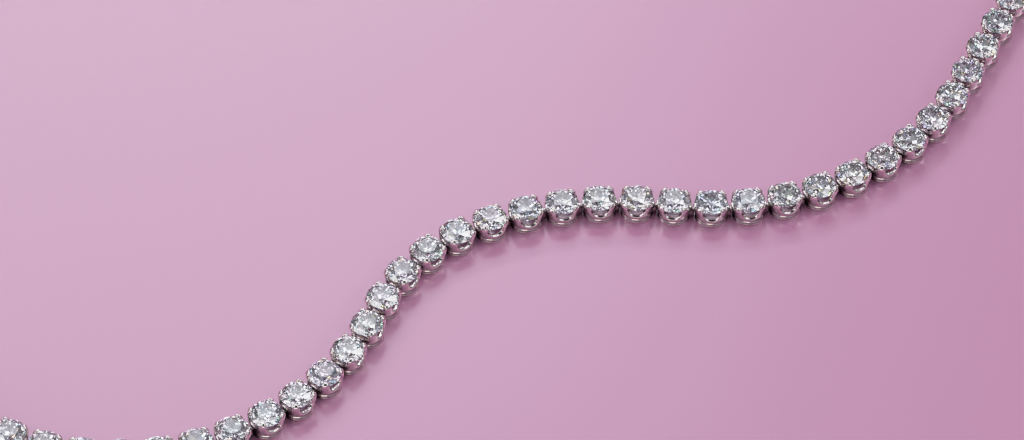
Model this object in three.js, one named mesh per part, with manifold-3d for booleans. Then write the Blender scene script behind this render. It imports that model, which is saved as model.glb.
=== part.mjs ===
// Four-claw tennis necklace, lying on a flat surface as a closed loop.
//
// The unit is the millimetre and +Z is up. The loop lies on the plane z = 0, and the origin is the middle
// of the underside of its bounding box. Every stone sits in a basket of its own: a foot ring, a cup whose
// long sides are scooped out, and four claws that lean in over the stone. A basket holds the next one by a
// hooked tongue, which leaves its front wall, goes through a window in the neighbour's back wall and drops
// behind it.
//
// In a link's own frame X runs along the necklace, Y across it, and the origin is under the stone.

import * as THREE from 'three';
import { mergeVertices } from 'three/addons/utils/BufferGeometryUtils.js';
import Module from 'manifold-3d';

const wasm = await Module();
wasm.setup();

// ---------------------------------------------------------------- driving dimensions

const PITCH = 4.60;              // from stone to stone
const LINK_PLACES = 88;          // places along the loop, the clasp's among them
const CLASP_PLACES = 2;          // places that the clasp takes
const FIRST_OPEN_LINK = 9;       // the first of the links whose stone and setting are pieces of their own
const OPEN_LINKS = 18;           // how many of those there are
const LINKS_PER_ROW = 4;         // links in each joined row
const ROWS_BEFORE_CLASP = 6;     // joined rows between the last open link and the clasp

const STONE = {
  radius: 2.00, tableRadius: 1.12, height: 2.55,      // the height is that of the girdle's middle
  girdle: 0.12, crown: 0.60, pavilion: 1.72, sides: 8,
};
const FOOT = { radius: 2.05, height: 0.50, bore: 1.50 };
const WAIST = { radius: 1.86, height: 0.62 };
const CLAW = {
  angle: 45, halfWidth: 9, rootHalfWidth: 20,         // in degrees round the stone
  radius: 2.30, lean: 0.28, top: 3.28, reach: 1.85,   // the tip leans in and reaches over the crown
};
const GRIP = { radius: 2.07, gap: 0.06 };        // room for the stone's girdle inside a claw
const TONGUE = { width: 0.56, low: 1.28, high: 1.58, root: 1.50 };
const HOOK = { length: 0.22, drop: 0.95, reach: PITCH - 1.02 };      // it ends inside the next cup's wall
const WINDOW = { width: 0.92, low: 1.20, high: 1.66, from: 1.40, to: 2.30 };       // for the tongue
const LUG_REACH = PITCH - 2.20;                 // a tongue with no hook stops just short of a closed wall
const PLAIN = { clawTop: 3.24, clawReach: 1.95, shoulder: 1.50 };      // a joined link's top, simplified
const CLASP = {
  length: 8.60, width: 3.90, height: 2.90, chamfer: 0.35,
  seam: 0.20, seamDepth: 0.15, seamAt: 1.90, neck: 2.00,
  press: { length: 1.50, width: 1.60, height: 0.30, root: 0.20 },
  lugRoot: 0.50,
};

// The loop's centreline: arcs with their radius and the angle that they turn through, left turns positive,
// and straight runs. The first six rows are the wave, and the rest lead round to its start. Two straight
// lengths and the last radius are worked out, so that the loop closes at its full length.
const START_HEADING = -27;
const ROUTE = [
  { radius: 28.0, turn: 44 },
  { radius: 35.0, turn: 52 },
  { radius: 25.0, turn: -46 },
  { radius: 42.0, turn: -31 },
  { radius: 35.5, turn: 71 },
  { straight: 'to the turn' },
  { radius: 16.0, turn: 117 },
  { straight: 'along the back' },
  { radius: 'round to the start', turn: 153 },
];

const WHITE_GOLD = { color: 0xdcdcde, metalness: 1.0, roughness: 0.12 };
const DIAMOND = { color: 0xf4f6fa, metalness: 0.0, roughness: 0.02 };

// ---------------------------------------------------------------- the route

const radians = THREE.MathUtils.degToRad;
const ROUTE_LENGTH = PITCH * LINK_PLACES;

// The way that one unit of a piece goes, a unit being a millimetre of a straight or of an arc's radius: a
// straight's direction, or an arc's chord, with the length along the piece as the third component.
function unitStep(piece, heading) {
  const from = radians(heading);
  if ('straight' in piece) return new THREE.Vector3(Math.cos(from), Math.sin(from), 1);
  const side = Math.sign(piece.turn);
  const to = from + radians(piece.turn);
  return new THREE.Vector3(
    side * (Math.sin(to) - Math.sin(from)),
    side * (Math.cos(from) - Math.cos(to)),
    Math.abs(to - from),
  );
}

// Each piece as { size, turn, start, heading, length }, where size is the radius or the straight length.
// Three sizes are unknown: their unit steps, as columns, have to make up what the known pieces leave open.
function closedRoute() {
  let heading = START_HEADING;
  const pieces = ROUTE.map((piece) => {
    const laid = { size: piece.straight ?? piece.radius, turn: piece.turn ?? 0, heading };
    laid.step = unitStep(piece, heading);
    heading += laid.turn;
    return laid;
  });
  const unknown = pieces.filter((piece) => typeof piece.size === 'string');
  const known = pieces.filter((piece) => typeof piece.size === 'number');
  const open = new THREE.Vector3(0, 0, ROUTE_LENGTH);
  known.forEach((piece) => open.addScaledVector(piece.step, -piece.size));
  const [u, v, w] = unknown.map((piece) => piece.step);
  open.applyMatrix3(new THREE.Matrix3(u.x, v.x, w.x, u.y, v.y, w.y, u.z, v.z, w.z).invert());
  unknown.forEach((piece, i) => { piece.size = open.getComponent(i); });

  const start = new THREE.Vector3();
  for (const piece of pieces) {
    piece.start = start.clone();
    start.addScaledVector(piece.step, piece.size);
    piece.length = piece.step.z * piece.size;
  }
  return pieces;
}

const route = closedRoute();

// The place at a distance along the route, as a matrix that carries a link's own frame there.
function frameAt(distance) {
  const along = THREE.MathUtils.euclideanModulo(distance, ROUTE_LENGTH);
  const piece = route.findLast(({ start }) => start.z <= along);
  const share = (along - piece.start.z) / piece.length;
  const from = radians(piece.heading);
  const to = from + radians(piece.turn) * share;
  const at = new THREE.Vector3(piece.start.x, piece.start.y, 0);
  if (piece.turn === 0) {
    at.add(new THREE.Vector3(Math.cos(from), Math.sin(from), 0).multiplyScalar(along - piece.start.z));
  } else {
    const reach = Math.sign(piece.turn) * piece.size;
    at.x += reach * (Math.sin(to) - Math.sin(from));
    at.y += reach * (Math.cos(from) - Math.cos(to));
  }
  return new THREE.Matrix4().makeRotationZ(to).setPosition(at);
}

const linkFrame = (index) => frameAt(index * PITCH);

// ---------------------------------------------------------------- solids

function bare(geometry) {
  geometry.deleteAttribute('normal');
  geometry.deleteAttribute('uv');
  return mergeVertices(geometry, 1e-4);
}

function solid(geometry) {
  const merged = bare(geometry);
  const corners = merged.index.array;
  const kept = [];
  for (let i = 0; i < corners.length; i += 3) {
    const [a, b, c] = [corners[i], corners[i + 1], corners[i + 2]];
    if (a !== b && b !== c && c !== a) kept.push(a, b, c);
  }
  return new wasm.Manifold(new wasm.Mesh({
    numProp: 3,
    vertProperties: Float32Array.from(merged.attributes.position.array),
    triVerts: Uint32Array.from(kept),
  }));
}

function geometryOf(manifold) {
  const mesh = manifold.getMesh();
  const geometry = new THREE.BufferGeometry();
  geometry.setAttribute('position', new THREE.BufferAttribute(Float32Array.from(mesh.vertProperties), 3));
  geometry.setIndex(new THREE.BufferAttribute(Uint32Array.from(mesh.triVerts), 1));
  geometry.computeVertexNormals();
  return geometry;
}

function box(x0, x1, width, z0, z1) {
  const geometry = new THREE.BoxGeometry(x1 - x0, width, z1 - z0);
  return solid(geometry.translate((x0 + x1) / 2, 0, (z0 + z1) / 2));
}

// A closed skin through rings of points. Each ring holds one { r, z } for each of the angles, in degrees.
// The last ring joins the first, or, where hubs gives the heights of two points on the axis, each end is
// closed by a fan round its own. Four-sided faces are split along their shorter diagonal.
function skin(angles, rings, hubs) {
  const columns = angles.length;
  const points = rings.flatMap((ring) => ring.map(({ r, z }, column) => {
    const around = radians(angles[column]);
    return new THREE.Vector3(r * Math.cos(around), r * Math.sin(around), z);
  }));
  const corners = [];
  const bands = hubs ? rings.length - 1 : rings.length;
  for (let band = 0; band < bands; band += 1) {
    const low = band * columns;
    const high = ((band + 1) % rings.length) * columns;
    for (let column = 0; column < columns; column += 1) {
      const next = (column + 1) % columns;
      const [a, b, c, d] = [low + column, low + next, high + next, high + column];
      const rising = points[a].distanceTo(points[c]) <= points[b].distanceTo(points[d]);
      corners.push(...(rising ? [a, b, c, a, c, d] : [a, b, d, b, c, d]));
    }
  }
  if (hubs) {
    const top = (rings.length - 1) * columns;
    const hub = points.push(new THREE.Vector3(0, 0, hubs.low), new THREE.Vector3(0, 0, hubs.high)) - 2;
    for (let column = 0; column < columns; column += 1) {
      const next = (column + 1) % columns;
      corners.push(hub, next, column, hub + 1, top + column, top + next);
    }
  }
  return solid(new THREE.BufferGeometry().setFromPoints(points).setIndex(corners));
}

// ---------------------------------------------------------------- the stone

const GIRDLE_TOP = STONE.height + STONE.girdle / 2;
const GIRDLE_LOW = STONE.height - STONE.girdle / 2;
const STONE_TOP = GIRDLE_TOP + STONE.crown;

// A round brilliant's main form: table, crown, girdle and pavilion.
function stoneGeometry() {
  const profile = [
    [0, GIRDLE_LOW - STONE.pavilion],
    [STONE.radius, GIRDLE_LOW],
    [STONE.radius, GIRDLE_TOP],
    [STONE.tableRadius, STONE_TOP],
    [0, STONE_TOP],
  ].map(([radius, height]) => new THREE.Vector2(radius, height));
  return new THREE.LatheGeometry(profile, STONE.sides).rotateX(Math.PI / 2);
}

// ---------------------------------------------------------------- the setting

// The wall's edge at each kind of place round the cup: outer and inner radius and height. The end walls are
// flat between their columns.
const END_ANGLE = 20;
const EDGE = {
  end: { outer: 2.24, inner: 1.66, height: 2.12 },
  flank: { outer: 2.02, inner: 1.60, height: 1.72 },
  sill: { outer: 1.94, inner: 1.56, height: 1.22 },
};

// The cup's columns from its flat front wall over one long side to its flat back wall.
const { angle: CLAW_ANGLE, halfWidth, rootHalfWidth } = CLAW;
const HALF_ROUND = [
  { angle: END_ANGLE, edge: 'end' },
  { angle: CLAW_ANGLE - halfWidth, edge: 'claw' },
  { angle: CLAW_ANGLE + halfWidth, edge: 'claw' },
  { angle: CLAW_ANGLE + rootHalfWidth, edge: 'flank' },
  { angle: 90, edge: 'sill' },
  { angle: 180 - CLAW_ANGLE - rootHalfWidth, edge: 'flank' },
  { angle: 180 - CLAW_ANGLE - halfWidth, edge: 'claw' },
  { angle: 180 - CLAW_ANGLE + halfWidth, edge: 'claw' },
  { angle: 180 - END_ANGLE, edge: 'end' },
];
const OTHER_SIDE = [...HALF_ROUND].reverse().map(({ angle, edge }) => ({ angle: 360 - angle, edge }));
const COLUMNS = [...HALF_ROUND, ...OTHER_SIDE];

function crownHeight(radius) {
  return GIRDLE_TOP + (STONE.radius - radius) * STONE.crown / (STONE.radius - STONE.tableRadius);
}

// The wall's section at one column, from the foot up the outside, over the edge and down the bore.
function wallSection(edge) {
  const foot = [
    { r: FOOT.radius, z: 0 },
    { r: FOOT.radius, z: FOOT.height },
    { r: WAIST.radius, z: WAIST.height },
  ];
  const bore = { r: FOOT.bore, z: 0 };
  if (edge === 'claw') {
    return [
      ...foot,
      { r: CLAW.radius, z: GIRDLE_TOP },
      { r: CLAW.radius - CLAW.lean, z: CLAW.top },
      { r: CLAW.reach, z: crownHeight(CLAW.reach) + GRIP.gap },
      { r: GRIP.radius, z: GIRDLE_TOP },
      bore,
    ];
  }
  const { outer, inner, height } = EDGE[edge];
  const rim = { r: outer, z: height };
  const lip = { r: inner, z: height };
  return [...foot, rim, rim, rim, lip, bore];
}

function cup() {
  const sections = COLUMNS.map((column) => wallSection(column.edge));
  const rings = sections[0].map((_, row) => sections.map((section) => section[row]));
  const window = box(-WINDOW.to, -WINDOW.from, WINDOW.width, WINDOW.low, WINDOW.high);
  return skin(COLUMNS.map((column) => column.angle), rings).subtract(window);
}

// A plain tongue: a flat bar out of the front wall.
function lug(root, reach) {
  return box(root, reach, TONGUE.width, TONGUE.low, TONGUE.high);
}

// A hooked tongue: out of the front wall, through the neighbour's window and down behind its wall.
function hookedTongue() {
  const outline = new THREE.Shape([
    new THREE.Vector2(TONGUE.root, TONGUE.low),
    new THREE.Vector2(HOOK.reach - HOOK.length, TONGUE.low),
    new THREE.Vector2(HOOK.reach - HOOK.length, HOOK.drop),
    new THREE.Vector2(HOOK.reach, HOOK.drop),
    new THREE.Vector2(HOOK.reach, TONGUE.high),
    new THREE.Vector2(TONGUE.root, TONGUE.high),
  ]);
  const geometry = new THREE.ExtrudeGeometry(outline, { depth: TONGUE.width, bevelEnabled: false });
  return solid(geometry.rotateX(Math.PI / 2).translate(0, TONGUE.width / 2, 0));
}

// ---------------------------------------------------------------- joined rows

// A stone and its setting as one plain form with the same outline: foot, claws, girdle and table.
function plainLink() {
  const angles = [0, 45, 90, 135, 180, 225, 270, 315];
  const ring = (claw, side) => angles.map((angle) => (angle % 90 === 0 ? side : claw));
  const foot = { r: FOOT.radius, z: 0 };
  return skin(angles, [
    ring(foot, foot),
    ring({ r: CLAW.radius, z: GIRDLE_TOP }, { r: STONE.radius, z: GIRDLE_LOW }),
    ring({ r: PLAIN.clawReach, z: PLAIN.clawTop }, { r: PLAIN.shoulder, z: crownHeight(PLAIN.shoulder) }),
  ], { low: 0, high: STONE_TOP });
}

// Links from first on, joined by bars, in the frame of the whole loop. The last one has the given arm.
function rowSolid(first, arm) {
  const bar = lug(TONGUE.root, PITCH - TONGUE.root);
  const parts = [];
  for (let place = first; place < first + LINKS_PER_ROW; place += 1) {
    const last = place === first + LINKS_PER_ROW - 1;
    parts.push(plainLink().add(last ? arm : bar).transform(linkFrame(place).elements));
  }
  return wasm.Manifold.union(parts);
}

// ---------------------------------------------------------------- the clasp

// A bar along X with chamfered long edges.
function chamferedBar(x0, x1, width, z0, z1, chamfer) {
  const half = width / 2;
  const outline = new THREE.Shape([
    new THREE.Vector2(-half + chamfer, z0),
    new THREE.Vector2(half - chamfer, z0),
    new THREE.Vector2(half, z0 + chamfer),
    new THREE.Vector2(half, z1 - chamfer),
    new THREE.Vector2(half - chamfer, z1),
    new THREE.Vector2(-half + chamfer, z1),
    new THREE.Vector2(-half, z1 - chamfer),
    new THREE.Vector2(-half, z0 + chamfer),
  ]);
  const geometry = new THREE.ExtrudeGeometry(outline, { depth: x1 - x0, bevelEnabled: false });
  return solid(geometry.applyMatrix4(new THREE.Matrix4().set(
    0, 0, 1, x0,
    1, 0, 0, 0,
    0, 1, 0, 0,
    0, 0, 0, 1,
  )));
}

// A box clasp, closed: the box, the end of its tongue past the seam, the press on its top and the front lug.
function claspSolid() {
  const { length, width, height, chamfer, seam, seamDepth, seamAt, neck, press, lugRoot } = CLASP;
  const end = length / 2;
  const [neckLow, neckHigh, neckWidth] = [seamDepth, height - seamDepth, width - 2 * seamDepth];
  const [pressStart, pressEnd] = [seamAt + seam, seamAt + seam + press.length];
  const lugReach = (CLASP_PLACES - 1) / 2 * PITCH + LUG_REACH;
  return chamferedBar(-end, seamAt - seam / 2, width, 0, height, chamfer)
    .add(chamferedBar(seamAt + seam / 2, end, width, 0, height, chamfer))
    .add(chamferedBar(seamAt - neck / 2, seamAt + neck / 2, neckWidth, neckLow, neckHigh, chamfer))
    .add(box(pressStart, pressEnd, press.width, height - press.root, height + press.height))
    .add(lug(end - lugRoot, lugReach));
}

// ---------------------------------------------------------------- the necklace

function number(count) {
  return String(count).padStart(2, '0');
}

function piece(name, geometry, finish, matrix) {
  const mesh = new THREE.Mesh(geometry, new THREE.MeshStandardMaterial(finish));
  mesh.name = name;
  if (matrix) mesh.applyMatrix4(matrix);
  return mesh;
}

const necklace = new THREE.Group();

const stone = stoneGeometry();
const hooked = geometryOf(cup().add(hookedTongue()));
const lugged = geometryOf(cup().add(lug(TONGUE.root, LUG_REACH)));
for (let link = 0; link < OPEN_LINKS; link += 1) {
  const matrix = linkFrame(FIRST_OPEN_LINK + link);
  const shape = link < OPEN_LINKS - 1 ? hooked : lugged;
  necklace.add(piece(`setting_${number(link + 1)}`, shape, WHITE_GOLD, matrix));
  necklace.add(piece(`stone_${number(link + 1)}`, stone, DIAMOND, matrix));
}

// The rows follow on from the open links, with the clasp between two of them. The last one hooks into the
// first open link.
const rows = (LINK_PLACES - OPEN_LINKS - CLASP_PLACES) / LINKS_PER_ROW;
let place = FIRST_OPEN_LINK + OPEN_LINKS;
for (let row = 0; row < rows; row += 1) {
  if (row === ROWS_BEFORE_CLASP) {
    const middle = frameAt((place + (CLASP_PLACES - 1) / 2) * PITCH);
    necklace.add(piece('clasp', geometryOf(claspSolid()), WHITE_GOLD, middle));
    place += CLASP_PLACES;
  }
  const arm = row < rows - 1 ? lug(TONGUE.root, LUG_REACH) : hookedTongue();
  necklace.add(piece(`row_${number(row + 1)}`, geometryOf(rowSolid(place, arm)), WHITE_GOLD));
  place += LINKS_PER_ROW;
}

// The origin goes to the middle of the underside.
const middle = new THREE.Box3().setFromObject(necklace, true).getCenter(new THREE.Vector3());
necklace.position.set(-middle.x, -middle.y, 0);
const part = new THREE.Group();
part.add(necklace);
export default part;
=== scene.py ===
"""Looks of a tennis necklace that lies as a closed, waved loop on a pale pink surface.

Shapes are worked out in millimetres in a link's own frame, where X runs along the necklace, Y across it and
Z up, with the origin under the stone, and go into their meshes in metres at their place along the loop.
A surface is an array of points, (rows, columns, 3). A shape is a pair: points, (n, 3), and triangles, (m, 3).
"""
import math

import bpy
import numpy as np
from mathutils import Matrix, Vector


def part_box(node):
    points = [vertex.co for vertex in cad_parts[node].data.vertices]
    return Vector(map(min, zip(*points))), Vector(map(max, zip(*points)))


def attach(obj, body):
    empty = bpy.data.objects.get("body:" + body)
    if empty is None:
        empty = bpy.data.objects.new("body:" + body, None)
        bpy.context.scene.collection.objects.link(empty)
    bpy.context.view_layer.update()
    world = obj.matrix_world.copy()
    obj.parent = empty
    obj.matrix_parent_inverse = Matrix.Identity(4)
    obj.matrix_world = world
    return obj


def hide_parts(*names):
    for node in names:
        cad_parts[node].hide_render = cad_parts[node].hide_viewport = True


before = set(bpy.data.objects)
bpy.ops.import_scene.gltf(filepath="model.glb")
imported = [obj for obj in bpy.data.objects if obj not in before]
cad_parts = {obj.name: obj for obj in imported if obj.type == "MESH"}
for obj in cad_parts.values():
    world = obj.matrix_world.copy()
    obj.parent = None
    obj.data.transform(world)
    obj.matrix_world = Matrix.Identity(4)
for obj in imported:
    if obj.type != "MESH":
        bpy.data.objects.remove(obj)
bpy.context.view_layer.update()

# ---------------------------------------------------------------- driving dimensions, in millimetres

MM = 0.001
PITCH = 4.60                    # from stone to stone
LINK_PLACES = 88                # places along the loop, two of them the clasp's
FIRST_OPEN_LINK = 9             # the first link whose stone and setting are pieces of their own
OPEN_LINKS = 18
LINKS_PER_ROW = 4
ROWS = 17
ROWS_BEFORE_CLASP = 6
CLASP_PLACES = 2

# The centreline: arcs of (radius, turn in degrees), left turns positive, and straights of turn 0. A size of
# None is worked out, so that the loop closes at its full length.
START_HEADING = -27
ROUTE = [
    (28.0, 44),
    (35.0, 52),
    (25.0, -46),
    (42.0, -31),
    (35.5, 71),
    (None, 0),
    (16.0, 117),
    (None, 0),
    (None, 153),
]

# A round brilliant. Heights are above the surface that the link stands on.
GIRDLE_RADIUS = 2.00
GIRDLE_HEIGHT = 2.55            # its middle
GIRDLE_THICKNESS = 0.12
TABLE_RADIUS = 1.12             # at the table's corners
CROWN_ANGLE = 34.5
PAVILION_ANGLE = 40.75
STAR_LENGTH = 0.50              # share of the way from the table's edge to the girdle
LOWER_HALF_LENGTH = 0.77        # share of the way from the girdle to the culet
STONE_LEAN = 1.0                # in degrees, how far a stone may be off level

# The cup and its claws.
BORE_RADIUS = 1.48
WAIST_RADIUS = 1.86
WAIST_HEIGHT = 0.74
WALL_TOP_LONG = 2.19            # half width of the cup's top along the necklace
WALL_TOP_ACROSS = 1.98          # and across it
WALL_SQUARENESS = 2.5           # exponent of its outline, where 2 would be an ellipse
WALL_OPENING = 1.20             # height above the waist over which the wall opens
LIP_RADIUS = 1.50               # the rim's inside at the bottom of a scoop
LIP_OPENING = 0.28              # how it grows with the square of the rim's height above that
END_HEIGHT = 2.08               # the top of the knuckle on each end wall
KNUCKLE_EDGE = 8                # in degrees off the wall's middle, where the knuckle starts to fall
NOTCH_EDGE = 18                 # and where the notch has its lowest point
NOTCH_HEIGHT = 1.80             # the rim between a knuckle and a claw
SILL_HEIGHT = 1.24              # the bottom of the scoop in each long side
SCOOP_POWER = 0.45              # 1 makes the scoop half an ellipse, and less squares it towards a broad U
CLAW_ROOT_HEIGHT = 2.26         # where the rim runs into a claw
CLAW_HALF_WIDTH = 12.2          # in degrees round the stone
CLAW_MIDDLE = 45                # in degrees from the necklace's course
CLAW_ROUND_POWER = 0.42         # how soon a claw's section swells outwards, less being sooner
CLAW_RISE_POWER = 0.20          # and how soon it rises
RIM_FALL = 0.24                 # height of the rim's outer rounding
RIM_ROUND = 0.10                # and of its inner one
WINDOW_SIDES = (168, 192)       # in degrees round the cup, the window for the tongue of the link before

# The tongue, its hook and the block that carries it.
TONGUE_WIDTH = 0.52
TONGUE_THICKNESS = 0.28
TONGUE_HEIGHT = 1.43            # its middle
TONGUE_START = 1.66             # its root, in the end wall
TONGUE_REACH = 3.46             # the hook's middle, behind the next cup's wall
TONGUE_DROP = 1.02              # the hook's lower end
TONGUE_SQUARENESS = 4.0         # exponent of its section
TONGUE_SIDES = 12
HOOK_BEND = 0.16                # radius of the bend's middle line
END_STEP = 0.05                 # length of the rounding at both ends
END_SHARE = 0.70                # size of the last section there
HINGE_ROOT_WIDTH = 0.90
HINGE_ROOT_TOP = 1.32
HINGE_ROOT_LOW = 0.05
HINGE_ROOT_SQUARENESS = 4.0
HINGE_ROOT_SIDES = 20

# The clasp.
CLASP_LENGTH = 8.60
CLASP_WIDTH = 3.90
CLASP_HEIGHT = 2.90
CLASP_EDGE = 0.40               # radius of the rounding at both ends
CLASP_SQUARENESS = 7.0
CLASP_SIDES = 48
CLASP_TONGUE_ROOT = 0.30        # how far inside the end plate its tongue starts
SEAM_PLACE = 1.90               # where the end plate meets the box
PRESS_PLACE = 2.86              # the middle of the press
PRESS_LENGTH = 1.50
PRESS_WIDTH = 1.60
PRESS_TOP = 3.18
PRESS_SQUARENESS = 5.0
PRESS_SIDES = 40

# ---------------------------------------------------------------- the route


def lay_route():
    """Pieces of the centreline as rows of start x, start y, start distance, heading, turn, radius, length.

    A unit of an arc's radius moves the chord of that turn and uses up the turn in radians, and a unit of a
    straight moves along its heading. The unknown sizes solve the three sums that close the loop.
    """
    turns = np.radians([turn for _, turn in ROUTE])
    headings = np.radians(START_HEADING) + np.concatenate(([0.0], np.cumsum(turns)[:-1]))
    side = np.sign(turns)
    arc_steps = np.stack((
        side * (np.sin(headings + turns) - np.sin(headings)),
        side * (np.cos(headings) - np.cos(headings + turns)),
        np.abs(turns),
    ), axis=1)
    straight_steps = np.stack((np.cos(headings), np.sin(headings), np.ones_like(headings)), axis=1)
    steps = np.where(turns[:, None] == 0, straight_steps, arc_steps)
    sizes = np.array([np.nan if size is None else size for size, _ in ROUTE])
    unknown = np.isnan(sizes)
    still_open = np.array([0.0, 0.0, PITCH * LINK_PLACES]) - sizes[~unknown] @ steps[~unknown]
    sizes[unknown] = np.linalg.solve(steps[unknown].T, still_open)
    moves = steps * sizes[:, None]
    starts = np.vstack((np.zeros(3), np.cumsum(moves, axis=0)[:-1]))
    return np.column_stack((starts, headings, turns, sizes, moves[:, 2]))


def frames_at(distances):
    """Place and heading, (n, 3), at distances along the route: on an arc the chord from its start, found as
    the radius times the change in the heading's sine and cosine, and on a straight the distance run."""
    distances = np.mod(distances, PITCH * LINK_PLACES)
    pieces = lay_route()
    x, y, start, heading, turn, radius, length = pieces[
        np.searchsorted(pieces[:, 2], distances, side="right") - 1].T
    run = distances - start
    now = heading + turn * run / length
    reach = np.sign(turn) * radius
    straight = turn == 0
    along_x = np.where(straight, run * np.cos(heading), reach * (np.sin(now) - np.sin(heading)))
    along_y = np.where(straight, run * np.sin(heading), reach * (np.cos(heading) - np.cos(now)))
    return np.column_stack((x + along_x, y + along_y, now))


def middle_of(node):
    """The middle of a CAD node's box, in millimetres."""
    low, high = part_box(node)
    return (np.array(low) + np.array(high)) / 2 / MM


LINK_FRAMES = frames_at(np.arange(LINK_PLACES) * PITCH)
ROUTE_SHIFT = middle_of("stone_01")[:2] - LINK_FRAMES[FIRST_OPEN_LINK, :2]
LINK_FRAMES[:, :2] += ROUTE_SHIFT


def placed(points, spot):
    """Points of a link's own frame, turned by the heading of spot = (x, y, heading) and moved to it."""
    x, y, heading = spot
    cosine, sine = math.cos(heading), math.sin(heading)
    turn = np.array([[cosine, -sine, 0.0], [sine, cosine, 0.0], [0.0, 0.0, 1.0]])
    return points @ turn.T + np.array([x, y, 0.0])


# ---------------------------------------------------------------- shapes and meshes


def halves(quads):
    """Triangles of four-cornered faces, (..., 4)."""
    quads = quads.reshape(-1, 4)
    return np.concatenate((quads[:, [0, 1, 2]], quads[:, [0, 2, 3]]))


def grid_quads(rows, columns, closed):
    """Faces of a grid whose columns run round, as corner numbers, (rows - 1, columns, 4). Where the grid is
    closed, one more row of faces joins the last row to the first."""
    row = np.arange(rows if closed else rows - 1)[:, None]
    column = np.arange(columns)[None, :]
    low = row * columns
    high = (row + 1) % rows * columns
    following = (column + 1) % columns
    return np.stack((low + column, low + following, high + following, high + column), axis=-1)


def capped(surface):
    """A shape from rings of points, (rows, columns, 3), each end closed by a fan to the ring's middle."""
    rows, columns, _ = surface.shape
    points = np.vstack((surface.reshape(-1, 3), surface[0].mean(axis=0), surface[-1].mean(axis=0)))
    column = np.arange(columns)
    following = (column + 1) % columns
    last = (rows - 1) * columns
    first_fan = np.stack((following, column, np.full(columns, rows * columns)), axis=1)
    last_fan = np.stack((last + column, last + following, np.full(columns, rows * columns + 1)), axis=1)
    return points, np.concatenate((halves(grid_quads(rows, columns, False)), first_fan, last_fan))


def squared_ring(sides, squareness):
    """Points (c, s) of the curve |c| ** n + |s| ** n = 1: the cosine and the sine of even angles, each raised
    to 2 / n with its sign kept."""
    around = np.linspace(0, 2 * np.pi, sides, endpoint=False)
    cosine, sine = np.cos(around), np.sin(around)
    power = 2 / squareness
    return np.sign(cosine) * np.abs(cosine) ** power, np.sign(sine) * np.abs(sine) ** power


def rings_along(x, y, z):
    """Rings of points square to X, from each ring's x and its y and z, (rings, sides)."""
    return np.stack((np.broadcast_to(x[:, None], y.shape), y, z), axis=-1)


def joined(shapes):
    """Several shapes as one."""
    offsets = np.cumsum([0] + [len(points) for points, _ in shapes[:-1]])
    points = np.concatenate([points for points, _ in shapes])
    return points, np.concatenate([faces + offset for (_, faces), offset in zip(shapes, offsets)])


def make_piece(name, shape, material, replaced=(), smooth=True, painted_shade=None):
    """A mesh object from a shape, riding on the necklace's one body. The attribute that carries painted
    shade, from 0 to 1, says how much shade is painted on each point."""
    points, faces = shape
    mesh = bpy.data.meshes.new(name)
    mesh.from_pydata(points * MM, [], faces)
    if smooth:
        mesh.shade_smooth()
    else:
        mesh.shade_flat()
    mesh.materials.append(material)
    # Painted shade, a point attribute that darkens the metal where shade falls.
    if painted_shade is not None:
        mesh.attributes.new("painted_shade", "FLOAT", "POINT").data.foreach_set("value", painted_shade)
    piece = bpy.data.objects.new(name, mesh)
    bpy.context.scene.collection.objects.link(piece)
    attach(piece, "root")
    if replaced:
        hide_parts(*replaced)
    return piece


# ---------------------------------------------------------------- materials

# The metal. Scales are in cycles to the metre, as Object coordinates are in metres.
CLOUD_SCALE = 260               # tone and film change about once a link
CLOUD_DETAIL = 3
FILM_RANGE = (0.40, 0.70)       # of the cloud's value, over which the film sets in
BUFFING_SCALE = (1200, 12000, 12000)
BUFFING_TURN = (0.2, 0.1, 0.6)  # in radians
BUFFING_DETAIL = 2
# Painted shade: the metal's colour and roughness where shade falls, between the links, inside the cups, in
# the foot's grooves and on the clasp's tongue.
PAINTED_SHADE_COLOUR = (0.13, 0.080, 0.095, 1)
PAINTED_SHADE_ROUGHNESS = 0.38
POLISH_SOCKETS = (
    ("Bright", "INPUT", "NodeSocketColor"),
    ("Dim", "INPUT", "NodeSocketColor"),
    ("Smooth", "INPUT", "NodeSocketFloat"),
    ("Rough", "INPUT", "NodeSocketFloat"),
    # painted shade, from 0 to 1
    ("Painted Shade", "INPUT", "NodeSocketFloat"),
    ("Colour", "OUTPUT", "NodeSocketColor"),
    ("Roughness", "OUTPUT", "NodeSocketFloat"),
    ("Lines", "OUTPUT", "NodeSocketFloat"),
)

DIAMOND_REFRACTION = 2.417

SHEET_COLOURS = ((0.650, 0.270, 0.475, 1), (0.675, 0.286, 0.496, 1))
SHEET_MOTTLE_SCALE = 18
SHEET_MOTTLE_DETAIL = 4
SHEET_GLOSS = 0.20
SHEET_ROUGHNESS = 0.25
LAMPLIT_REACH = (0.20, 1.00)    # in metres off, where the sheet starts to glow and where it only glows
PALE_PINK = (0.62, 0.39, 0.54, 1)


def new_material(name):
    """A material with nodes, and its nodes and links."""
    material = bpy.data.materials.new(name)
    material.use_nodes = True
    return material, material.node_tree.nodes, material.node_tree.links


def smooth_step(nodes, links, value, low, high, at_low, at_high):
    """The output of a Map Range node that eases from at_low to at_high as value goes from low to high."""
    step = nodes.new("ShaderNodeMapRange")
    step.interpolation_type = "SMOOTHSTEP"
    step.inputs["From Min"].default_value = low
    step.inputs["From Max"].default_value = high
    step.inputs["To Min"].default_value = at_low
    step.inputs["To Max"].default_value = at_high
    links.new(value, step.inputs["Value"])
    return step.outputs["Result"]


def add_noise(nodes, scale, detail):
    """A Noise Texture node."""
    noise = nodes.new("ShaderNodeTexNoise")
    noise.inputs["Scale"].default_value = scale
    noise.inputs["Detail"].default_value = detail
    return noise


def add_colour_mix(nodes):
    """A Mix node for colours."""
    mix = nodes.new("ShaderNodeMix")
    mix.data_type = "RGBA"
    return mix


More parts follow.
